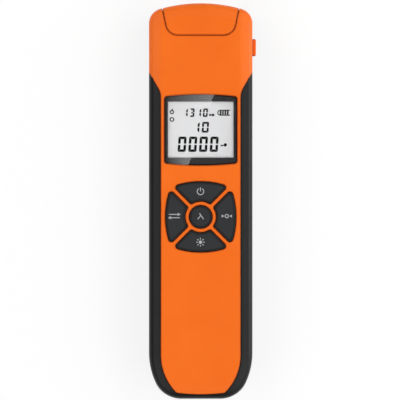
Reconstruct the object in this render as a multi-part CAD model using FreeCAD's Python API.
"""Handheld optical power meter, in millimetres.

A two-shell moulded case with a flip cover over the fibre port, a display, five keys,
a main board and a bay for three AAA cells.  +X is to the right of the front face,
+Y runs towards the port, +Z comes out of the front face.  The origin is the centre of
the flat back on which the meter lies.
"""
import FreeCAD
import Part
import math
import os

Vector = FreeCAD.Vector
X_AXIS = Vector(1, 0, 0)
Y_AXIS = Vector(0, 1, 0)
Z_AXIS = Vector(0, 0, 1)

# ---- Case ----------------------------------------------------------------------------------------
case_length = 175.0
case_width = 45.8
case_thickness = 27.0
wall = 2.0
head_end_radius = 66.0        # plan arc across the head end
head_corner_radius = 6.6
grip_side_radius = 31.0       # first plan arc that closes the grip end
grip_side_turn = 25.0         # degrees that it turns through
grip_corner_radius = 12.5     # second arc, which meets the flat end
slope_width = 5.0             # gentle fall all round the front face
slope_drop = 1.7
slope_top_radius = 8.0
slope_side_radius = 3.5
back_edge_radius = 6.0
seam_gap = 0.25               # groove between the two shells on the front
parting_z = 13.0              # seam on the sides of the head

# ---- Front panel of the front shell --------------------------------------------------------------
panel_half_width = 17.6
panel_knee_y = 48.0           # where the panel starts to widen into the head
panel_knee_angle = 30.5       # degrees from the long axis
panel_knee_radius = 8.0
panel_end_run = 17.4          # length of the panel's rounded end
panel_end_side_radius = 23.5
panel_end_margin = 2.1        # from the panel's end to the grip end
panel_end_radius = 83.0
panel_corner_radius = 1.2
side_seam_back = 23.5         # from the head end to where the side seam leaves the parting plane
side_seam_slope = 9.0 / 7.0
panel_ledge_depth = 1.6       # lip of the rear shell that carries the panel's edge
panel_ledge_lap = 1.2
panel_ledge_reach = 1.6
skirt_share = 2.0 / 3.0       # part of the wall in which the shells meet face to face
rim_radius = 0.2              # round on the seams' edges and on the rims of the openings

# ---- Flip cover ----------------------------------------------------------------------------------
cover_base_back = 14.1        # from the head end to the flap's lower seam
cover_base_half = 14.4
cover_flare = 11.5            # degrees by which the flap widens towards the end
cover_corner_radius = 5.2
cover_gap = 0.3
cover_foot_half = 16.95       # half width of the cover below the parting plane
cover_lip_back = 7.5          # from the head end to the cover's lower edge, under the pin
cover_swing_gap = 0.32
hinge_pin_radius = 0.9
hinge_pin_reach = 18.6        # half length of the pin
hinge_clearance = 0.05
hinge_barrel_radius = 2.6
hinge_arm_inner_x = 9.5
hinge_arm_outer_x = 13.5
hinge_cheek_inner_x = 17.4
cover_ledge_lap = 1.0
cover_ledge_depth = 1.4

# ---- Port, torch and the wall that carries them --------------------------------------------------
bulkhead_back = 16.0          # from the head end to the wall
bulkhead_thickness = 1.6
bulkhead_clearance = 0.3
port_z = 14.5
port_flange_radius = 5.6
port_flange_thickness = 1.6
port_barrel_radius = 4.0
port_barrel_length = 7.4
port_spigot_radius = 4.2
port_spigot_length = 3.4
port_hole_clearance = 0.1
port_bore_radius = 1.65
port_key_width = 2.2
port_key_depth = 1.6
port_mouth_chamfer = 0.4
port_nut_flats = 11.0
port_nut_thickness = 2.3
sleeve_bore_radius = 1.25
sleeve_clearance = 0.05
sleeve_length = 10.8
sleeve_slit = 0.5
diode_can_radius = 2.3
diode_can_length = 2.4
diode_can_clearance = 0.1
diode_flange_radius = 2.75
diode_flange_thickness = 0.6
torch_x = 10.6
torch_led_radius = 2.5
torch_led_length = 7.0
torch_led_rim = 0.4
torch_led_rim_length = 1.0
torch_led_tip_gap = 0.8       # from the tip of the dome to the lens
torch_led_bend = 1.0          # from the base to the bend of its leads
torch_lens_radius = 3.3
torch_lens_lip = 0.8
torch_lens_lip_thickness = 0.5
torch_lens_bulge = 1.0
torch_lens_clearance = 0.05
lead_radius = 0.23
lead_spread = 1.27

# ---- Strap eye -----------------------------------------------------------------------------------
eye_back = 19.5               # from the head end to the middle of the eye
eye_length = 7.4
eye_height = 6.6
eye_base_z = 13.8
eye_proud = 1.6
eye_corner_radius = 0.7
eye_slot_height = 3.4
eye_slot_depth = 1.9
eye_bar = 1.2
eye_curve_radius = 14.0
eye_backing = 1.3

# ---- Display -------------------------------------------------------------------------------------
window_share = 31.4 / 175.0   # from the case's middle to the window's, as a share of the length
window_half_width = 16.1
window_height = 31.3
window_arch_radius = 138.0
window_corner_radius = 1.4
window_thickness = 1.2
window_sunk = 0.12
window_gap = 0.12
view_rim = 0.5                # play of the front shell round the clear part of the window
view_width = 29.0             # the part of the glass that shows
view_height = 24.8
view_rise = 0.1               # the view lies this far above the window's middle
gasket_thickness = 0.4
gasket_width = 0.45
lcd_width = 31.4
lcd_height = 28.2
lcd_thickness = 2.0
lcd_clearance = 0.2
lcd_frame_rim = 1.1
lcd_frame_floor = 0.6
light_guide_thickness = 1.8
light_guide_foot = 2.0
strip_width = 1.8
strip_length = 26.0

# ---- Keys ----------------------------------------------------------------------------------------
keypad_y = -7.0
key_reach = 15.4              # pad centre to the top of an outer key
key_outer_radius = 36.0
key_inner_radius = 7.1
key_web = 2.3                 # width of the webs between the outer keys
key_outer_corner = 1.1
key_inner_corner = 0.6
centre_key_radius = 4.9
key_gap = 0.35
key_proud = 0.4
key_edge_radius = 0.35
key_flange = 0.75
key_flange_thickness = 0.9
key_travel = 0.5
switch_offset = 10.4          # pad centre to each outer switch
switch_side = 6.0
switch_corner = 0.6
switch_height = 3.5
switch_stem_radius = 1.7
switch_stem_clearance = 0.1
switch_floor = 0.8

# ---- Main board ----------------------------------------------------------------------------------
board_z = 17.4
board_thickness = 1.6
board_edge_gap = 1.0
board_head_gap = 5.9          # from the board's edge to the cross wall
board_screw_x = 12.5
board_screw_back = 31.5       # from the head end to the first pair
board_screw_step = 15.5       # from the head of the bay to the second pair
board_screw_foot = 13.5       # from the grip end to the single screw
board_boss_radius = 2.3
board_screw_radius = 0.9
board_screw_head_radius = 1.9
board_screw_head = 1.2
board_screw_bite = 3.6
board_screw_room = 0.6        # depth left under the tip
chips = [                     # plan place, plan size and height of each package
    (0.0, 8.0, 10.0, 10.0, 1.4),
    (-9.0, 40.0, 6.0, 5.0, 1.6),
    (6.0, 50.0, 5.0, 4.0, 1.6),
    (9.0, -12.0, 6.0, 6.0, 2.2),
]

# ---- Battery bay ---------------------------------------------------------------------------------
cell_radius = 5.25
cell_body_length = 43.7
cell_nub_radius = 1.9
cell_nub_length = 0.8
cell_edge_radius = 0.5
cell_pitch = 11.2
cell_floor_gap = 0.3
bay_end_room = 9.0            # from the grip end to the foot of the bay
bay_side_gap = 0.35
bay_wall = 1.0
bay_roof_gap = 0.6
cradle_thickness = 1.2
cradle_gap = 0.1
contact_thickness = 0.4
contact_width = 8.4
contact_height = 8.0
contact_tab_width = 2.4
contact_tab_lap = 1.0
contact_bridge_height = 3.0
spring_wire = 0.25            # radius of the wire
spring_length = 2.7           # with the cell in place
spring_turns = 3
spring_base_radius = 3.0
spring_tip_radius = 2.0

# ---- Battery door --------------------------------------------------------------------------------
door_plate = 1.2
door_gap = 0.3
door_side_gap = 0.25
door_lap = 1.2                # width of the rebate on which the door's edge slides
door_end_z = 8.0              # the door wraps up the end of the case to here
door_travel = 4.0
door_pad_top = 2.6
hook_length = 4.0
hook_steps = [11.5, 35.5]     # from the head of the bay
hook_thickness = 1.1
hook_stem = 0.9
hook_running_gap = 0.1
door_rib_count = 7
door_rib_pitch = 2.0
door_rib_width = 0.9
door_rib_depth = 0.45
door_rib_length = 15.0
door_rib_step = 9.5           # from the head of the bay to the first groove
door_arrow_step = 29.5        # from the head of the bay to the base of the arrow
door_arrow_length = 5.0
door_arrow_width = 7.0

# ---- Case screws ---------------------------------------------------------------------------------
case_screw_head_x = 15.6
case_screw_back = 27.5        # from the head end to the first pair
case_screw_grip_x = 13.6
case_screw_step = 4.3         # from the head of the bay to the second pair
case_boss_radius = 2.7
case_boss_meet_z = 14.5
case_screw_radius = 1.2
case_screw_hole_gap = 0.2
case_screw_head_radius = 2.1
case_screw_head = 1.6
case_screw_seat_z = 4.0
case_screw_bite = 6.0
case_screw_room = 1.0         # depth left under the tip
case_screw_cross = 2.6        # length of each arm pair of the cross recess
case_screw_cross_width = 0.6
case_screw_recess = 0.9
boss_clearance = 0.5

# ---- Places that follow from the sizes above -----------------------------------------------------
half_length = case_length / 2
half_width = case_width / 2
slope_angle = math.atan2(slope_drop, slope_width)
inner_top_z = case_thickness - wall
hinge_y = half_length - back_edge_radius
panel_end_y = -half_length + panel_end_margin
panel_straight_end_y = panel_end_y + panel_end_run
side_seam_start_y = half_length - side_seam_back
cover_base_y = half_length - cover_base_back
cover_lip_y = half_length - cover_lip_back
bulkhead_y = half_length - bulkhead_back
eye_y = half_length - eye_back
window_centre_y = case_length * window_share
view_centre_y = window_centre_y + view_rise
board_head_y = bulkhead_y - board_head_gap
cell_length = cell_body_length + cell_nub_length
bay_length = cell_length + 2 * contact_thickness + spring_length
bay_foot_y = -half_length + bay_end_room
bay_head_y = bay_foot_y + bay_length
hook_places = [bay_head_y - step for step in hook_steps]
case_screw_places = [(side * x, y) for x, y in ((case_screw_head_x, half_length - case_screw_back),
                                                (case_screw_grip_x, bay_head_y + case_screw_step))
                     for side in (-1, 1)]
board_screw_places = [(side * board_screw_x, y)
                      for y in (half_length - board_screw_back, bay_head_y - board_screw_step)
                      for side in (-1, 1)] + [(0.0, -half_length + board_screw_foot)]
hinge_z = back_edge_radius
board_top_z = board_z + board_thickness
switch_top_z = board_top_z + switch_height
key_flange_z = inner_top_z - key_flange_thickness
window_top_z = case_thickness - window_sunk
window_z = window_top_z - window_thickness
lcd_top_z = inner_top_z
lcd_z = lcd_top_z - lcd_thickness
light_guide_z = lcd_z - light_guide_thickness
cell_z = door_plate + cell_floor_gap + cell_radius
bay_roof_z = cell_z + cell_radius + bay_roof_gap
bay_half_width = cell_pitch + cell_radius + bay_side_gap
door_half_width = bay_half_width + door_lap
hook_z = door_pad_top + hook_running_gap
bulkhead_front_y = bulkhead_y + bulkhead_thickness
port_mouth_y = bulkhead_front_y + port_flange_thickness + port_barrel_length


# ---- Small helpers -------------------------------------------------------------------------------
def box(x0, x1, y0, y1, z0, z1):
    """Block between two corners."""
    return Part.makeBox(x1 - x0, y1 - y0, z1 - z0, Vector(x0, y0, z0))


def rod(radius, start, length, axis):
    """Cylinder from a start point along an axis."""
    return Part.makeCylinder(radius, length, Vector(*start), axis)


def tube(outer, inner, start, length, axis):
    """Cylinder with a through bore."""
    return rod(outer, start, length, axis).cut(rod(inner, start, length, axis))


def line(a, b):
    """Straight edge in the plan plane."""
    return Part.LineSegment(Vector(a[0], a[1], 0), Vector(b[0], b[1], 0)).toShape()


def arc(centre, radius, start, end):
    """Plan arc between two angles in radians."""
    angles = (start, (start + end) / 2, end)
    points = [Vector(centre[0] + radius * math.cos(a), centre[1] + radius * math.sin(a), 0)
              for a in angles]
    return Part.Arc(*points).toShape()


def prism(edges, z0, z1):
    """Closed plan outline carried from one level to another."""
    face = Part.Face(Part.Wire(edges))
    face.translate(Vector(0, 0, z0))
    return face.extrude(Vector(0, 0, z1 - z0))


def level_edges(shape, z):
    """Edges that lie wholly at one level."""
    return [e for e in shape.Edges
            if abs(e.BoundBox.ZMin - z) < 1e-4 and abs(e.BoundBox.ZMax - z) < 1e-4]


def upright_edges(shape, x, y):
    """Upright edges at a plan point."""
    found = []
    for edge in shape.Edges:
        bounds = edge.BoundBox
        flat = bounds.XLength < 1e-4 and bounds.YLength < 1e-4
        if flat and abs(bounds.XMin - x) < 1e-3 and abs(bounds.YMin - y) < 1e-3:
            found.append(edge)
    return found


def edges_between(shape, first, second):
    """Edges of a shape whose middles lie on the surfaces of two other solids."""
    found = []
    for edge in shape.Edges:
        middle = Part.Vertex(edge.valueAt((edge.FirstParameter + edge.LastParameter) / 2))
        if all(middle.distToShape(other.Shells[0])[0] < 1e-3 for other in (first, second)):
            found.append(edge)
    return found


def fused(shapes):
    """One solid from overlapping or touching solids."""
    first, rest = shapes[0], shapes[1:]
    return first.multiFuse(rest).removeSplitter() if rest else first


def mirrored(shape):
    """The same shape on the other side of the long axis."""
    return shape.mirror(Vector(0, 0, 0), X_AXIS)


def save(name, shape):
    """Write one node after checking that its solids are sound."""
    solids = shape.Solids
    if not solids or not all(s.isValid() and s.Volume > 0 for s in solids):
        raise ValueError("bad solid in " + name)
    keep = solids[0] if len(solids) == 1 else Part.makeCompound(solids)
    keep.exportStep("parts/" + name + ".step")
    print("%-20s %2d solid(s) %10.2f mm3 %5d faces" % (name, len(solids), keep.Volume, len(keep.Faces)))


# ---- Outlines and regions ------------------------------------------------------------------------
def case_outline(inset):
    """Plan outline of the case, moved inwards by an inset."""
    side_x = half_width - inset
    head_centre = (0.0, half_length - head_end_radius)
    corner_x = half_width - head_corner_radius
    corner_y = head_centre[1] + math.sqrt((head_end_radius - head_corner_radius) ** 2 - corner_x ** 2)
    head_turn = math.atan2(corner_y - head_centre[1], corner_x)
    turn = math.radians(grip_side_turn)
    step = grip_side_radius - grip_corner_radius
    side_y = -half_length + grip_corner_radius + step * math.sin(turn)
    side_centre_x = half_width - grip_side_radius
    end_x = side_centre_x + step * math.cos(turn)
    end_y = -half_length + grip_corner_radius
    low = -half_length + inset
    side_r, end_r = grip_side_radius - inset, grip_corner_radius - inset
    return [
        line((side_x, side_y), (side_x, corner_y)),
        arc((corner_x, corner_y), head_corner_radius - inset, 0.0, head_turn),
        arc(head_centre, head_end_radius - inset, head_turn, math.pi - head_turn),
        arc((-corner_x, corner_y), head_corner_radius - inset, math.pi - head_turn, math.pi),
        line((-side_x, corner_y), (-side_x, side_y)),
        arc((-side_centre_x, side_y), side_r, math.pi, math.pi + turn),
        arc((-end_x, end_y), end_r, math.pi + turn, 1.5 * math.pi),
        line((-end_x, low), (end_x, low)),
        arc((end_x, end_y), end_r, 1.5 * math.pi, 2 * math.pi - turn),
        arc((side_centre_x, side_y), side_r, 2 * math.pi - turn, 2 * math.pi),
    ]


def case_form(inset):
    """The whole case as a solid, its surface moved inwards by an inset."""
    top = case_thickness - inset
    fall_width = slope_width - inset + inset * math.tan(slope_angle / 2)
    fall = fall_width * math.tan(slope_angle)
    solid = prism(case_outline(inset), inset, top)
    solid = solid.makeChamfer(fall, fall_width, level_edges(solid, top))
    solid = solid.makeFillet(slope_top_radius - inset, level_edges(solid, top))
    solid = solid.makeFillet(slope_side_radius - inset, level_edges(solid, top - fall))
    return solid.makeFillet(back_edge_radius - inset, level_edges(solid, inset))


def panel_region(grow, z0, z1):
    """Plan region of the front shell: the head and the long panel, grown sideways."""
    angle = math.radians(panel_knee_angle)
    far = case_width
    side = panel_half_width + grow
    knee_y = panel_knee_y - grow * math.tan(angle / 2)
    far_y = knee_y + (far - side) / math.tan(angle)
    side_centre_x = panel_half_width - panel_end_side_radius
    side_r = panel_end_side_radius + grow
    end_centre_y = panel_end_y + panel_end_radius
    end_r = panel_end_radius + grow
    # corner where the side arc meets the end arc
    dx, dy = side_centre_x, panel_straight_end_y - end_centre_y
    apart = math.hypot(dx, dy)
    along = (end_r ** 2 - side_r ** 2 + apart ** 2) / (2 * apart)
    across = math.sqrt(end_r ** 2 - along ** 2)
    ux, uy = dx / apart, dy / apart
    corner_x = along * ux - across * uy
    corner_y = end_centre_y + along * uy + across * ux
    side_end = math.atan2(corner_y - panel_straight_end_y, corner_x - side_centre_x)
    end_start = math.atan2(corner_y - end_centre_y, corner_x)
    edges = [
        line((far, 2 * half_length), (-far, 2 * half_length)),
        line((-far, 2 * half_length), (-far, far_y)),
        line((-far, far_y), (-side, knee_y)),
        line((-side, knee_y), (-side, panel_straight_end_y)),
        arc((-side_centre_x, panel_straight_end_y), side_r, math.pi, math.pi - side_end),
        arc((0.0, end_centre_y), end_r, -math.pi - end_start, end_start),
        arc((side_centre_x, panel_straight_end_y), side_r, side_end, 0.0),
        line((side, panel_straight_end_y), (side, knee_y)),
        line((side, knee_y), (far, far_y)),
        line((far, far_y), (far, 2 * half_length)),
    ]
    solid = prism(edges, z0, z1)
    knees = upright_edges(solid, side, knee_y) + upright_edges(solid, -side, knee_y)
    solid = solid.makeFillet(panel_knee_radius - grow, knees)
    corners = upright_edges(solid, corner_x, corner_y) + upright_edges(solid, -corner_x, corner_y)
    return solid.makeFillet(panel_corner_radius + max(grow, 0.0), corners)


def front_region(grow):
    """Everything that belongs to the front shell, down to its side seam."""
    region = panel_region(grow, parting_z - grow, case_thickness + wall)
    rise = case_thickness + wall - parting_z
    start_y = side_seam_start_y - grow
    wedge_points = [
        (start_y, parting_z - wall),
        (start_y, parting_z),
        (start_y - rise / side_seam_slope, parting_z + rise),
        (-case_length, parting_z + rise),
        (-case_length, parting_z - wall),
    ]
    # the slope of the seam only shapes the side wall
    corners = [Vector(half_width - wall, y, z) for y, z in wedge_points]
    wedge = Part.Face(Part.makePolygon(corners + corners[:1])).extrude(Vector(case_width, 0, 0))
    return region.cut(wedge).cut(mirrored(wedge))


def cover_region(grow, z0, z1):
    """Plan region of the flip cover's flap, grown sideways."""
    flare = math.radians(cover_flare)
    low = cover_base_y - grow
    base = cover_base_half + grow * (math.cos(flare) - (1 - math.sin(flare)) * math.tan(flare))
    top = case_length
    half_top = base + (top - low) * math.tan(flare)
    edges = [
        line((-base, low), (base, low)),
        line((base, low), (half_top, top)),
        line((half_top, top), (-half_top, top)),
        line((-half_top, top), (-base, low)),
    ]
    solid = prism(edges, z0, z1)
    corners = upright_edges(solid, base, low) + upright_edges(solid, -base, low)
    return solid.makeFillet(cover_corner_radius + grow, corners)


def window_region(grow, z0, z1):
    """Plan region of the display window, with its arched top and bottom."""
    half = window_half_width + grow
    radius = window_arch_radius + grow
    drop = window_height / 2 - window_arch_radius
    turn = math.asin(half / radius)
    corner = window_centre_y + drop + radius * math.cos(turn)
    low = 2 * window_centre_y - corner
    edges = [
        arc((0.0, window_centre_y + drop), radius, math.pi / 2 - turn, math.pi / 2 + turn),
        line((-half, corner), (-half, low)),
        arc((0.0, window_centre_y - drop), radius, 1.5 * math.pi - turn, 1.5 * math.pi + turn),
        line((half, low), (half, corner)),
    ]
    solid = prism(edges, z0, z1)
    corners = []
    for x in (-half, half):
        for y in (low, corner):
            corners += upright_edges(solid, x, y)
    return solid.makeFillet(window_corner_radius + grow, corners)


def outer_key_region(grow, quarter, z0, z1):
    """Plan region of one of the four outer keys, turned by quarter turns."""
    outer_centre_y = key_reach - key_outer_radius
    outer_r, inner_r = key_outer_radius + grow, key_inner_radius - grow
    shift = (key_web / 2 - grow) * math.sqrt(2)

    def meet(radius, centre_y):
        """Point x where the slanted side y = x + shift meets a circle."""
        lift = shift - centre_y
        return (-lift + math.sqrt(2 * radius ** 2 - lift ** 2)) / 2

    xo, xi = meet(outer_r, outer_centre_y), meet(inner_r, 0.0)
    yo, yi = xo + shift, xi + shift
    outer_a = math.atan2(yo - outer_centre_y, xo)
    inner_a = math.atan2(yi, xi)
    edges = [
        arc((0.0, outer_centre_y), outer_r, outer_a, math.pi - outer_a),
        line((-xo, yo), (-xi, yi)),
        arc((0.0, 0.0), inner_r, math.pi - inner_a, inner_a),
        line((xi, yi), (xo, yo)),
    ]
    solid = prism(edges, z0, z1)
    outer_corners = upright_edges(solid, xo, yo) + upright_edges(solid, -xo, yo)
    solid = solid.makeFillet(key_outer_corner + grow, outer_corners)
    inner_corners = upright_edges(solid, xi, yi) + upright_edges(solid, -xi, yi)
    solid = solid.makeFillet(key_inner_corner + grow, inner_corners)
    solid.rotate(Vector(0, 0, 0), Z_AXIS, 90.0 * quarter)
    solid.translate(Vector(0, keypad_y, 0))
    return solid


def centre_key_region(grow, z0, z1):
    """Plan region of the round centre key."""
    return rod(centre_key_radius + grow, (0, keypad_y, z0), z1 - z0, Z_AXIS)


def key_regions(grow, z0, z1):
    """The five key regions: four outer ones and the centre."""
    outer = [outer_key_region(grow, quarter, z0, z1) for quarter in range(4)]
    return outer + [centre_key_region(grow, z0, z1)]


def switch_places():
    """Plan places of the five switches, in the order of key_regions."""
    places = []
    for quarter in range(4):
        angle = math.radians(90.0 * quarter + 90.0)
        places.append((switch_offset * math.cos(angle), keypad_y + switch_offset * math.sin(angle)))
    return places + [(0.0, keypad_y)]


# ---- Case shells ---------------------------------------------------------------------------------
def eye_slot():
    """Curved slot that passes behind the strap bar."""
    bar_outer = half_width + eye_proud
    centre_x = bar_outer - eye_bar + eye_curve_radius
    middle_z = eye_base_z + eye_height / 2
    start = (centre_x, eye_y, middle_z - eye_slot_height / 2)
    ring = tube(eye_curve_radius + eye_slot_depth, eye_curve_radius, start, eye_slot_height, Z_AXIS)
    keep = box(0, centre_x, eye_y - eye_curve_radius, eye_y + eye_curve_radius, 0, case_thickness)
    return ring.common(keep)


def strap_eye():
    """Bar of the strap eye, with the thicker wall behind it."""
    top = eye_base_z + eye_height
    bump = box(half_width - wall, half_width + eye_proud,
               eye_y - eye_length / 2, eye_y + eye_length / 2, eye_base_z, top)
    outer = [e for e in bump.Edges if abs(e.BoundBox.XMin - half_width - eye_proud) < 1e-4]
    bump = bump.makeFillet(eye_corner_radius, outer)
    back = box(half_width - wall - eye_backing, half_width - wall / 2,
               eye_y - eye_length, eye_y + eye_length / 2, eye_base_z, top)
    return bump, back


def bulkhead(case_inside):
    """Cross wall of the front shell that carries the port and the torch."""
    slab = box(-case_width, case_width, bulkhead_y, bulkhead_front_y,
               wall + bulkhead_clearance, inner_top_z)
    inside = case_inside.common(slab)
    clear = case_form(wall + bulkhead_clearance)
    lower = box(-case_width, case_width, bulkhead_y, bulkhead_front_y, 0, parting_z)
    inside = inside.cut(lower).fuse(clear.common(lower).common(slab))
    port = rod(port_spigot_radius + port_hole_clearance, (0, bulkhead_y, port_z),
               bulkhead_thickness, Y_AXIS)
    torch = rod(torch_lens_radius - torch_lens_lip + torch_lens_clearance,
                (torch_x, bulkhead_y, port_z), bulkhead_thickness, Y_AXIS)
    return inside.cut(port).cut(torch)


def cover_ledge():
    """Ledge under the flap's edge, on which the closed cover rests."""
    z0, z1 = inner_top_z - cover_ledge_depth, inner_top_z - cover_gap / 3
    ring = cover_region(cover_gap + cover_ledge_lap, z0, z1).cut(cover_region(-cover_ledge_lap, z0, z1))
    ledge = ring.common(box(-case_width, case_width, bulkhead_y, hinge_y - 2 * wall, z0, z1))
    # the outer part reaches up to the front wall
    step = cover_region(cover_gap + cover_ledge_lap, z0, inner_top_z)
    step = step.cut(cover_region(cover_gap, z0, inner_top_z))
    reach = box(-case_width, case_width, bulkhead_y, hinge_y - 2 * wall, z0, inner_top_z)
    return ledge.fuse(step.common(reach))


def front_housing(case_outside, case_inside):
    """Front shell: head, panel, strap eye, cross wall and bosses."""
    region = front_region(0.0)
    shell = case_outside.cut(case_inside).common(region)
    shell = shell.makeFillet(rim_radius, edges_between(shell, case_outside, region))
    cover_hole = cover_region(cover_gap, parting_z - wall, case_thickness + wall).common(
        box(-case_width, case_width, bulkhead_front_y, case_length, 0, case_thickness + wall))
    shell = shell.cut(cover_hole)
    shell = shell.makeFillet(rim_radius, edges_between(shell, case_outside, cover_hole))
    bump, back = strap_eye()
    parts = [shell, bump, back.common(case_inside), bulkhead(case_inside), cover_ledge()]
    for x, y in case_screw_places:
        height = inner_top_z - case_boss_meet_z
        parts.append(rod(case_boss_radius, (x, y, case_boss_meet_z), height, Z_AXIS))
    for x, y in board_screw_places:
        parts.append(rod(board_boss_radius, (x, y, board_top_z), inner_top_z - board_top_z, Z_AXIS))
    body = fused(parts)
    cuts = [eye_slot(), window_region(window_gap, window_z, case_thickness + wall)]
    cuts.append(view_opening(window_z - wall, window_z + wall, view_rim))
    cuts += key_regions(key_gap, inner_top_z - wall, case_thickness + wall)
    for x, y in case_screw_places:
        cuts.append(rod(case_screw_radius, (x, y, case_boss_meet_z), case_screw_bite, Z_AXIS))
    for x, y in board_screw_places:
        cuts.append(rod(board_screw_radius, (x, y, board_top_z), board_screw_bite, Z_AXIS))
    body = body.cut(cuts)
    return body.makeFillet(rim_radius, rim_edges(body))


def rim_edges(body):
    """Outer edges of the key holes and of the window's recess."""
    reach = window_half_width + 2 * window_gap
    low, high = keypad_y - key_reach - 1, window_centre_y + window_height / 2 + 1
    return [e for e in level_edges(body, case_thickness)
            if max(-e.BoundBox.XMin, e.BoundBox.XMax) < reach
            and e.BoundBox.YMin > low and e.BoundBox.YMax < high]


def view_opening(z0, z1, grow):
    """Rectangular region through which the display shows."""
    half_x, half_y = view_width / 2 + grow, view_height / 2 + grow
    return box(-half_x, half_x, view_centre_y - half_y, view_centre_y + half_y, z0, z1)


def panel_ledge(case_inside):
    """Lip of the rear shell under the edge of the front panel."""
    z0, z1 = inner_top_z - panel_ledge_depth, inner_top_z
    ring = panel_region(panel_ledge_reach, z0, z1).cut(panel_region(-panel_ledge_lap, z0, z1))
    below_head = box(-case_width, case_width, -case_length, panel_knee_y + panel_knee_radius,
                     0, case_thickness)
    return ring.common(case_inside).common(below_head)


def battery_bay(case_inside):
    """Roof, walls and cradles that hold the cells."""
    outer_x = bay_half_width + bay_wall
    roof_top = bay_roof_z + bay_wall
    wall_z = hook_z + hook_thickness + hook_running_gap + cell_floor_gap
    foot, head = bay_foot_y - bay_wall, bay_head_y + bay_wall
    parts = [box(-outer_x, outer_x, foot, head, bay_roof_z, roof_top)]
    parts.append(box(-outer_x, outer_x, bay_head_y, head, wall / 2, roof_top))
    parts.append(box(-outer_x, outer_x, foot, bay_foot_y, wall_z, roof_top))
    for side in (-1, 1):
        inner, outer = side * bay_half_width, side * outer_x
        parts.append(box(min(inner, outer), max(inner, outer), foot, head, wall_z, roof_top))
        # ribs that tie the bay to the side walls of the case
        for y in (bay_head_y, bay_head_y - bay_length / 2, bay_foot_y):
            tie = box(outer_x - bay_wall / 2, half_width, y - bay_wall, y, wall_z, roof_top)
            parts.append(tie if side > 0 else mirrored(tie))
    for y in (bay_head_y - bay_length / 4, bay_head_y - 3 * bay_length / 4):
        cradle = box(-bay_half_width, bay_half_width, y - cradle_thickness, y, cell_z, bay_roof_z)
        for x in cell_columns():
            cradle = cradle.cut(rod(cell_radius + cradle_gap, (x, y - cradle_thickness, cell_z),
                                    cradle_thickness, Y_AXIS))
        parts.append(cradle)
    bay = fused(parts)
    slots = [contact_tab(x, y, bay_roof_z - wall, roof_top + wall, contact_thickness / 2)
             for x, y in contact_tab_places()]
    return bay.common(case_inside.fuse(box(-outer_x, outer_x, foot, head, 0, wall))).cut(slots)


def rear_bosses():
    """Screw columns of the rear shell."""
    return [rod(case_boss_radius, (x, y, wall / 2), case_boss_meet_z - wall / 2, Z_AXIS)
            for x, y in case_screw_places]


def hinge_cheeks(case_outside):
    """Cheeks of the rear shell that hold the ends of the hinge pin."""
    parts = []
    for side in (-1, 1):
        x0 = hinge_cheek_inner_x if side > 0 else -half_width
        x1 = half_width if side > 0 else -hinge_cheek_inner_x
        length = x1 - x0
        barrel = rod(hinge_barrel_radius, (x0, hinge_y, hinge_z), length, X_AXIS)
        foot = box(x0, x1, hinge_y - hinge_barrel_radius, hinge_y + hinge_barrel_radius,
                   wall / 2, hinge_z)
        parts.append(barrel.fuse(foot).common(case_outside))
    return parts


def swing_space():
    """Space in the back of the rear shell through which the cover's foot turns."""
    half = cover_foot_half + cover_gap
    reach = math.hypot(hinge_y - cover_lip_y, hinge_z) + cover_swing_gap
    round_part = rod(reach, (-half, hinge_y, hinge_z), 2 * half, X_AXIS)
    end_part = box(-half, half, hinge_y, case_length, -wall, parting_z + wall)
    below = box(-half, half, 0, case_length, -wall, parting_z)
    return round_part.common(below).fuse(end_part)


def door_cuts():
    """Space in the rear shell for the battery door, its hooks and the cells."""
    rebate = door_half_width + door_side_gap
    edge = bay_head_y
    far = -case_length
    cuts = [box(-rebate, rebate, far, edge, -wall, door_plate + hook_running_gap)]
    cuts.append(box(-bay_half_width, bay_half_width, bay_foot_y, edge,
                    0, door_pad_top + hook_running_gap))
    end = box(-bay_half_width, bay_half_width, far, bay_foot_y - bay_wall, -wall, door_end_z + door_gap)
    cuts.append(end)
    for y in hook_places:
        for side in (-1, 1):
            notch = box(bay_half_width - wall, door_half_width + door_side_gap / 2,
                        y - door_travel - hook_length - door_gap, y - door_travel + door_gap, 0, hook_z)
            cuts.append(notch if side > 0 else mirrored(notch))
    return cuts


def door_pads(case_outside):
    """Thickened strips of the back on each side of the bay, which guide the door's hooks."""
    outer = door_half_width + 2 * door_side_gap + bay_wall
    pad = box(bay_half_width, outer, bay_foot_y, bay_head_y + bay_wall, wall / 2, door_pad_top)
    return [pad.common(case_outside), mirrored(pad).common(case_outside)]


def rear_housing(case_outside, case_inside):
    """Rear shell: back, grip sides, battery bay, screw columns and hinge cheeks."""
    shell = case_outside.cut(case_inside).cut(front_region(seam_gap))
    # below the groove the two shells meet face to face
    skirt = case_outside.cut(case_inside).cut(front_region(0.0)).common(
        box(-case_width, case_width, -case_length, case_length, 0, case_thickness - wall * skirt_share))
    parts = [shell, skirt, panel_ledge(case_inside), battery_bay(case_inside)]
    parts += rear_bosses() + hinge_cheeks(case_outside) + door_pads(case_outside)
    body = fused(parts)
    cuts = [swing_space()] + door_cuts()
    for x, y in case_screw_places:
        cuts.append(rod(case_screw_head_radius + case_screw_hole_gap, (x, y, -wall),
                        case_screw_seat_z + wall, Z_AXIS))
        cuts.append(rod(case_screw_radius + case_screw_hole_gap, (x, y, 0), case_boss_meet_z, Z_AXIS))
    pin = rod(hinge_pin_radius, (-hinge_pin_reach, hinge_y, hinge_z), 2 * hinge_pin_reach, X_AXIS)
    cuts.append(pin)
    return body.cut(cuts)


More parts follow.
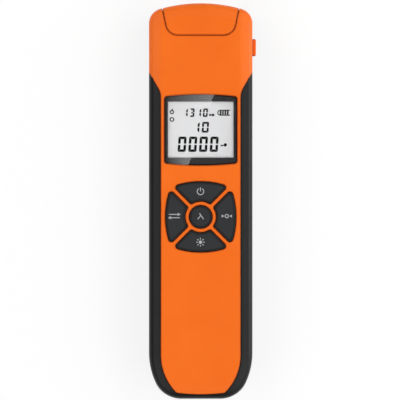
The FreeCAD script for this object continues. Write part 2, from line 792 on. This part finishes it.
# ---- Flip cover ----------------------------------------------------------------------------------
def flip_cover(case_outside, case_inside):
    """Cover: flap on the front, end wall, rounded foot and two hinge arms."""
    shell = case_outside.cut(case_inside)
    flap_region = cover_region(0.0, parting_z - cover_gap, case_thickness + wall)
    flap = shell.common(flap_region)
    foot = shell.common(box(-cover_foot_half, cover_foot_half, cover_lip_y, case_length,
                            0, parting_z - cover_gap))
    parts = [flap, foot]
    length = hinge_arm_outer_x - hinge_arm_inner_x
    for x0 in (-hinge_arm_outer_x, hinge_arm_inner_x):
        barrel = rod(hinge_barrel_radius, (x0, hinge_y, hinge_z), length, X_AXIS)
        arm = box(x0, x0 + length, hinge_y, half_length - wall / 2,
                  hinge_z - hinge_barrel_radius, hinge_z + hinge_barrel_radius)
        parts.append(barrel.fuse(arm).common(case_outside))
    body = fused(parts)
    body = body.makeFillet(rim_radius, edges_between(body, case_outside, flap_region))
    bore = rod(hinge_pin_radius + hinge_clearance, (-case_width, hinge_y, hinge_z),
               2 * case_width, X_AXIS)
    return body.cut(bore)


def cover_hinge_pin():
    """Steel pin across the head, pressed into the cheeks."""
    return rod(hinge_pin_radius, (-hinge_pin_reach, hinge_y, hinge_z), 2 * hinge_pin_reach, X_AXIS)


# ---- Port and torch ------------------------------------------------------------------------------
def adaptor_body():
    """Port body: flange, plain barrel with a key slot, and rear spigot."""
    start = bulkhead_y - port_spigot_length
    spigot_length = port_spigot_length + bulkhead_thickness
    parts = [
        rod(port_spigot_radius, (0, start, port_z), spigot_length, Y_AXIS),
        rod(port_flange_radius, (0, bulkhead_front_y, port_z), port_flange_thickness, Y_AXIS),
        rod(port_barrel_radius, (0, bulkhead_front_y + port_flange_thickness, port_z),
            port_barrel_length, Y_AXIS),
    ]
    body = fused(parts)
    mouth = [e for e in body.Edges if abs(e.BoundBox.YMin - port_mouth_y) < 1e-4]
    body = body.makeChamfer(port_mouth_chamfer, mouth)
    key = box(-port_key_width / 2, port_key_width / 2, port_mouth_y - port_key_depth, port_mouth_y,
              port_z, port_z + port_flange_radius)
    bore = rod(port_bore_radius, (0, start, port_z), port_mouth_y - start, Y_AXIS)
    pocket = rod(diode_can_radius + diode_can_clearance, (0, start, port_z), diode_can_length, Y_AXIS)
    return body.cut([key, bore, pocket])


def adaptor_nut():
    """Hexagon nut that clamps the port body behind the cross wall."""
    radius = port_nut_flats / math.sqrt(3)
    y = bulkhead_y - port_nut_thickness
    points = []
    for i in range(7):
        angle = math.radians(60 * i)
        points.append(Vector(radius * math.cos(angle), y, port_z + radius * math.sin(angle)))
    nut = Part.Face(Part.makePolygon(points)).extrude(Vector(0, port_nut_thickness, 0))
    return nut.cut(rod(port_spigot_radius, (0, y, port_z), port_nut_thickness, Y_AXIS))


def ferrule_sleeve():
    """Split ceramic sleeve that aligns a 2.5 mm ferrule."""
    radius = port_bore_radius - sleeve_clearance
    start = port_mouth_y - sleeve_length
    sleeve = tube(radius, sleeve_bore_radius, (0, start, port_z), sleeve_length, Y_AXIS)
    slit = box(-sleeve_slit / 2, sleeve_slit / 2, start, port_mouth_y, port_z - 2 * radius, port_z)
    return sleeve.cut(slit)


def photodiode():
    """Metal-can photodiode behind the sleeve, with three leads to the board."""
    back = bulkhead_y - port_spigot_length
    flange_y = back - diode_flange_thickness
    body = fused([
        rod(diode_can_radius, (0, back, port_z), diode_can_length, Y_AXIS),
        rod(diode_flange_radius, (0, flange_y, port_z), diode_flange_thickness, Y_AXIS),
    ])
    return fused([body] + [lead(x, flange_y) for x in (-lead_spread, 0.0, lead_spread)])


def lead(x, start_y):
    """Bent lead from the back of a part up to the board."""
    y = board_head_y - 3 * lead_radius
    run = rod(lead_radius, (x, y - lead_radius, port_z), start_y - y + lead_radius, Y_AXIS)
    rise = rod(lead_radius, (x, y, port_z - lead_radius), board_z - port_z + lead_radius, Z_AXIS)
    return run.fuse(rise)


def torch_led():
    """Five-millimetre lamp behind the torch lens."""
    tip_y = bulkhead_y - torch_led_tip_gap
    base_y = tip_y - torch_led_length
    centre = (torch_x, base_y, port_z)
    straight = torch_led_length - torch_led_radius
    dome = Part.makeSphere(torch_led_radius, Vector(torch_x, base_y + straight, port_z))
    rim = rod(torch_led_radius + torch_led_rim, centre, torch_led_rim_length, Y_AXIS)
    body = fused([rod(torch_led_radius, centre, straight, Y_AXIS), dome, rim])
    half = lead_spread
    bend_y = base_y - torch_led_bend
    legs = [rod(lead_radius, (torch_x + x, bend_y, port_z - lead_radius),
                board_z - port_z + lead_radius, Z_AXIS) for x in (-half, half)]
    runs = [rod(lead_radius, (torch_x + x, bend_y - lead_radius, port_z),
                torch_led_bend + lead_radius, Y_AXIS)
            for x in (-half, half)]
    return fused([body] + legs + runs)


def torch_lens():
    """Clear domed lens in the cross wall, held by its lip."""
    inner = torch_lens_radius - torch_lens_lip
    stem = rod(inner, (torch_x, bulkhead_y, port_z), bulkhead_thickness, Y_AXIS)
    lip = rod(torch_lens_radius, (torch_x, bulkhead_front_y, port_z), torch_lens_lip_thickness, Y_AXIS)
    bulge = torch_lens_bulge
    radius = (inner ** 2 + bulge ** 2) / (2 * bulge)
    ball_y = bulkhead_front_y + torch_lens_lip_thickness + bulge - radius
    ball = Part.makeSphere(radius, Vector(torch_x, ball_y, port_z))
    cap = ball.common(rod(inner, (torch_x, bulkhead_front_y, port_z), 4 * bulge, Y_AXIS))
    return fused([stem, lip, cap])


# ---- Display -------------------------------------------------------------------------------------
def display_window():
    """Clear window let into the front panel."""
    return window_region(0.0, window_z, window_top_z)


def window_gasket():
    """Black adhesive frame between the front panel and the display glass."""
    ring = view_opening(window_z - gasket_thickness, window_z, gasket_width)
    return ring.cut(view_opening(window_z - wall, window_z + wall, 0.0))


def lcd_box(grow, z0, z1):
    """Rectangular region of the display glass."""
    half_x, half_y = lcd_width / 2 + grow, lcd_height / 2 + grow
    return box(-half_x, half_x, view_centre_y - half_y, view_centre_y + half_y, z0, z1)


def lcd_glass():
    """Two-pane display glass, the rear pane longer at its contact edge."""
    middle = (lcd_z + lcd_top_z) / 2
    front = lcd_box(0.0, middle, lcd_top_z)
    front = front.cut(box(-case_width, case_width, 0, view_centre_y - lcd_height / 2 + strip_width,
                          middle, lcd_top_z))
    return fused([front, lcd_box(0.0, lcd_z, middle)])


def lcd_frame():
    """Moulded frame that holds the display parts on the board."""
    frame_top = inner_top_z - panel_ledge_depth - lcd_clearance
    outer = lcd_box(lcd_clearance + lcd_frame_rim, board_top_z, frame_top)
    inner = lcd_box(lcd_clearance, board_top_z + lcd_frame_floor, lcd_top_z)
    frame = outer.cut(inner)
    slots = [strip_box(side, lcd_clearance / 2) for side in (-1, 1)]
    window = lcd_box(-strip_width - 2 * lcd_frame_rim, board_top_z - wall, inner_top_z)
    return frame.cut(slots).cut(window)


def strip_box(side, grow):
    """Place of one contact strip, below the upper or lower edge of the glass."""
    y = view_centre_y + side * (lcd_height / 2 - strip_width / 2)
    half_x, half_y = strip_length / 2 + grow, strip_width / 2 + grow
    return box(-half_x, half_x, y - half_y, y + half_y, board_top_z, lcd_z)


def lcd_contact_strips():
    """Two rubber strips that join the glass to the board."""
    return Part.makeCompound([strip_box(side, 0.0) for side in (-1, 1)])


def light_guide():
    """Backlight plate behind the glass, with the lug that takes the lamp."""
    half_x = lcd_width / 2 - lcd_clearance
    half_y = lcd_height / 2 - strip_width - lcd_clearance
    plate = box(-half_x, half_x, view_centre_y - half_y, view_centre_y + half_y, light_guide_z, lcd_z)
    foot_half = half_y - 2 * lcd_frame_rim
    feet = [box(x, x + light_guide_foot, view_centre_y - foot_half, view_centre_y + foot_half,
                board_top_z, light_guide_z)
            for x in (-lcd_width / 2 + strip_width + 3 * lcd_frame_rim,
                      lcd_width / 2 - strip_width - 5 * lcd_frame_rim)]
    return fused([plate] + feet)


# ---- Keys ----------------------------------------------------------------------------------------
def keycap(index):
    """Keycap with the flange that keeps it behind the front panel."""
    top = case_thickness + key_proud
    cap = key_regions(0.0, key_flange_z, top)[index]
    cap = cap.makeFillet(key_edge_radius, level_edges(cap, top))
    flange = key_regions(key_flange, key_flange_z, inner_top_z)[index]
    return fused([cap, flange])


def switch_stem(x, y):
    """Moving stem of a switch, under its keycap."""
    base = switch_top_z - key_travel - switch_stem_clearance
    return rod(switch_stem_radius, (x, y, base), key_flange_z - base, Z_AXIS)


def switch_bodies():
    """Five switch bodies on the board, each bored for its stem."""
    half = switch_side / 2
    bodies = []
    for x, y in switch_places():
        body = box(x - half, x + half, y - half, y + half, board_top_z, switch_top_z)
        corners = [e for e in body.Edges if e.BoundBox.ZLength > switch_height / 2]
        body = body.makeChamfer(switch_corner, corners)
        bore = rod(switch_stem_radius + switch_stem_clearance, (x, y, board_top_z + switch_floor),
                   switch_height, Z_AXIS)
        bodies.append(body.cut(bore))
    return Part.makeCompound(bodies)


# ---- Board ---------------------------------------------------------------------------------------
def main_board():
    """Circuit board that follows the case, with notches for the screw columns."""
    board = prism(case_outline(wall + board_edge_gap), board_z, board_top_z)
    board = board.common(box(-case_width, case_width, -case_length, board_head_y, 0, case_thickness))
    cuts = [rod(case_boss_radius + boss_clearance, (x, y, board_z), board_thickness, Z_AXIS)
            for x, y in case_screw_places]
    cuts += [rod(board_screw_radius + case_screw_hole_gap / 2, (x, y, board_z), board_thickness, Z_AXIS)
             for x, y in board_screw_places]
    eye_x = half_width - wall - eye_backing - boss_clearance
    cuts.append(box(eye_x, half_width, eye_y - eye_length - boss_clearance, case_length,
                    board_z, board_top_z))
    return board.cut(cuts)


def board_chips():
    """Packages under the board: processor, amplifier and supply."""
    return Part.makeCompound([box(x - w / 2, x + w / 2, y - d / 2, y + d / 2, board_z - h, board_z)
                              for x, y, w, d, h in chips])


# ---- Cells and contacts --------------------------------------------------------------------------
def cell_columns():
    """Plan x of the three cells."""
    return (-cell_pitch, 0.0, cell_pitch)


def battery_cell(index):
    """One AAA cell; the middle one lies the other way round."""
    x = cell_columns()[index]
    forward = index != 1
    nub_face = bay_head_y - contact_thickness if forward else bay_foot_y + contact_thickness
    way = -1 if forward else 1
    body_y = nub_face + way * cell_nub_length
    start = min(body_y, body_y + way * cell_body_length)
    can = rod(cell_radius, (x, start, cell_z), cell_body_length, Y_AXIS)
    ends = [e for e in can.Edges if e.BoundBox.YLength < 1e-4]
    can = can.makeFillet(cell_edge_radius, ends)
    nub_start = min(nub_face, body_y)
    return fused([can, rod(cell_nub_radius, (x, nub_start, cell_z), cell_nub_length, Y_AXIS)])


def contact_plate(x, y):
    """Flat contact against one end wall of the bay."""
    half = contact_width / 2
    return box(x - half, x + half, y, y + contact_thickness,
               cell_z - contact_height / 2, cell_z + contact_height / 2)


def contact_tab(x, y, z0, z1, grow):
    """Upright tab that takes a contact through the roof of the bay."""
    half = contact_tab_width / 2 + grow
    return box(x - half, x + half, y - grow, y + contact_thickness + grow, z0, z1)


def contact_tab_places():
    """Plan places of the two tabs that are soldered to the board."""
    left, _, right = cell_columns()
    return [(left, bay_head_y - contact_thickness), (right, bay_foot_y)]


def battery_contacts():
    """Four contact plates: two end ones with tabs and two bridges."""
    left, middle, right = cell_columns()
    head, foot = bay_head_y - contact_thickness, bay_foot_y
    tab_base = cell_z + contact_height / 2 - contact_tab_lap
    tabs = [contact_tab(x, y, tab_base, board_z, 0.0) for x, y in contact_tab_places()]
    first = contact_plate(left, head).fuse(tabs[0])
    last = contact_plate(right, foot).fuse(tabs[1])
    bridges = []
    for x0, x1, y in ((left, middle, foot), (middle, right, head)):
        link = box(x0, x1, y, y + contact_thickness,
                   cell_z - contact_bridge_height / 2, cell_z + contact_bridge_height / 2)
        bridges.append(fused([contact_plate(x0, y), contact_plate(x1, y), link]))
    plates = [first.removeSplitter(), last.removeSplitter()] + bridges
    return Part.makeCompound(plates)


def contact_spring(x, y, way):
    """Conical spring on a contact, from its plate to the flat end of a cell.

    Each half turn is a bent rod in a leaning plane; all of them start and end square to the same plane.
    """
    halves = 2 * spring_turns
    lift = (spring_length - 2 * spring_wire) / halves
    taper = (spring_base_radius - spring_tip_radius) / halves
    pieces = []
    for i in range(halves):
        side = 1 if i % 2 == 0 else -1
        start = Vector(side * (spring_base_radius - i * taper), 0, i * lift)
        end = Vector(-side * (spring_base_radius - (i + 1) * taper), 0, (i + 1) * lift)
        axis = (start - end).cross(Y_AXIS) * side
        disc = Part.Face(Part.Wire([Part.makeCircle(spring_wire, start, Y_AXIS)]))
        pieces.append(disc.revolve((start + end) * 0.5, axis, 180))
    coil = pieces[0].multiFuse(pieces[1:])
    coil.rotate(Vector(0, 0, 0), X_AXIS, -90.0 * way)
    coil.translate(Vector(x, y + way * spring_wire, cell_z))
    return coil


def battery_springs():
    """Three conical springs, one under the flat end of each cell."""
    left, middle, right = cell_columns()
    foot, head = bay_foot_y + contact_thickness, bay_head_y - contact_thickness
    return Part.makeCompound([contact_spring(left, foot, 1), contact_spring(middle, head, -1),
                              contact_spring(right, foot, 1)])


# ---- Battery door --------------------------------------------------------------------------------
def battery_door(case_outside, case_inside):
    """Sliding door: plate, end that wraps the case, hooks and grip ribs."""
    head = bay_head_y - door_gap
    plate = case_outside.common(
        box(-door_half_width, door_half_width, -case_length, head, 0, door_plate))
    end = case_outside.cut(case_inside).common(
        box(-bay_half_width + door_gap, bay_half_width - door_gap, -case_length,
            bay_foot_y - bay_wall - door_gap, 0, door_end_z))
    parts = [plate, end]
    for y in hook_places:
        stem = box(bay_half_width - door_gap - hook_stem, bay_half_width - door_gap,
                   y - hook_length, y, door_plate / 2, hook_z + hook_thickness)
        catch = box(bay_half_width - door_gap - hook_stem, door_half_width,
                    y - hook_length, y, hook_z, hook_z + hook_thickness)
        hook = stem.fuse(catch)
        parts += [hook, mirrored(hook)]
    body = fused(parts)
    grooves = []
    for i in range(door_rib_count):
        y = bay_head_y - door_rib_step - i * door_rib_pitch
        grooves.append(box(-door_rib_length / 2, door_rib_length / 2, y - door_rib_width, y,
                           -wall, door_rib_depth))
    return body.cut(grooves + [door_arrow()])


def door_arrow():
    """Shallow arrow that shows which way the door slides."""
    base_y = bay_head_y - door_arrow_step
    half = door_arrow_width / 2
    return prism([line((-half, base_y), (0, base_y - door_arrow_length)),
                  line((0, base_y - door_arrow_length), (half, base_y)),
                  line((half, base_y), (-half, base_y))], -wall, door_rib_depth)


# ---- Screws --------------------------------------------------------------------------------------
def cross_recess(x, y, z):
    """Cross for the driver, from the face of a screw's head inwards."""
    long, short = case_screw_cross / 2, case_screw_cross_width / 2
    return [box(x - a, x + a, y - b, y + b, z, z + case_screw_recess)
            for a, b in ((long, short), (short, long))]


def case_screws():
    """Four screws from the back into the front shell."""
    screws = []
    for x, y in case_screw_places:
        head = rod(case_screw_head_radius, (x, y, case_screw_seat_z - case_screw_head),
                   case_screw_head, Z_AXIS)
        length = case_boss_meet_z + case_screw_bite - case_screw_room - case_screw_seat_z
        shank = rod(case_screw_radius, (x, y, case_screw_seat_z), length, Z_AXIS)
        screws.append(fused([head, shank]).cut(cross_recess(x, y, case_screw_seat_z - case_screw_head)))
    return Part.makeCompound(screws)


def board_screws():
    """Five screws that fix the board to the front shell."""
    screws = []
    for x, y in board_screw_places:
        head = rod(board_screw_head_radius, (x, y, board_z - board_screw_head), board_screw_head, Z_AXIS)
        shank = rod(board_screw_radius, (x, y, board_z),
                    board_thickness + board_screw_bite - board_screw_room, Z_AXIS)
        screws.append(fused([head, shank]))
    return Part.makeCompound(screws)


# ---- Build ---------------------------------------------------------------------------------------
def main():
    """Write every node."""
    os.makedirs("parts", exist_ok=True)
    outside, inside = case_form(0.0), case_form(wall)
    save("front_housing", front_housing(outside, inside))
    save("rear_housing", rear_housing(outside, inside))
    save("flip_cover", flip_cover(outside, inside))
    save("cover_hinge_pin", cover_hinge_pin())
    save("battery_door", battery_door(outside, inside))
    save("adaptor_body", adaptor_body())
    save("adaptor_nut", adaptor_nut())
    save("ferrule_sleeve", ferrule_sleeve())
    save("photodiode", photodiode())
    save("torch_led", torch_led())
    save("torch_lens", torch_lens())
    save("display_window", display_window())
    save("window_gasket", window_gasket())
    save("lcd_glass", lcd_glass())
    save("lcd_frame", lcd_frame())
    save("lcd_contact_strips", lcd_contact_strips())
    save("light_guide", light_guide())
    names = ("power", "left", "lamp", "right", "centre")
    for index, name in enumerate(names):
        save("key_" + name, keycap(index))
        save("switch_stem_" + name, switch_stem(*switch_places()[index]))
    save("switch_bodies", switch_bodies())
    save("main_board", main_board())
    save("board_chips", board_chips())
    for index in range(len(cell_columns())):
        save("battery_cell_%d" % (index + 1), battery_cell(index))
    save("battery_contacts", battery_contacts())
    save("battery_springs", battery_springs())
    save("case_screws", case_screws())
    save("board_screws", board_screws())


main()
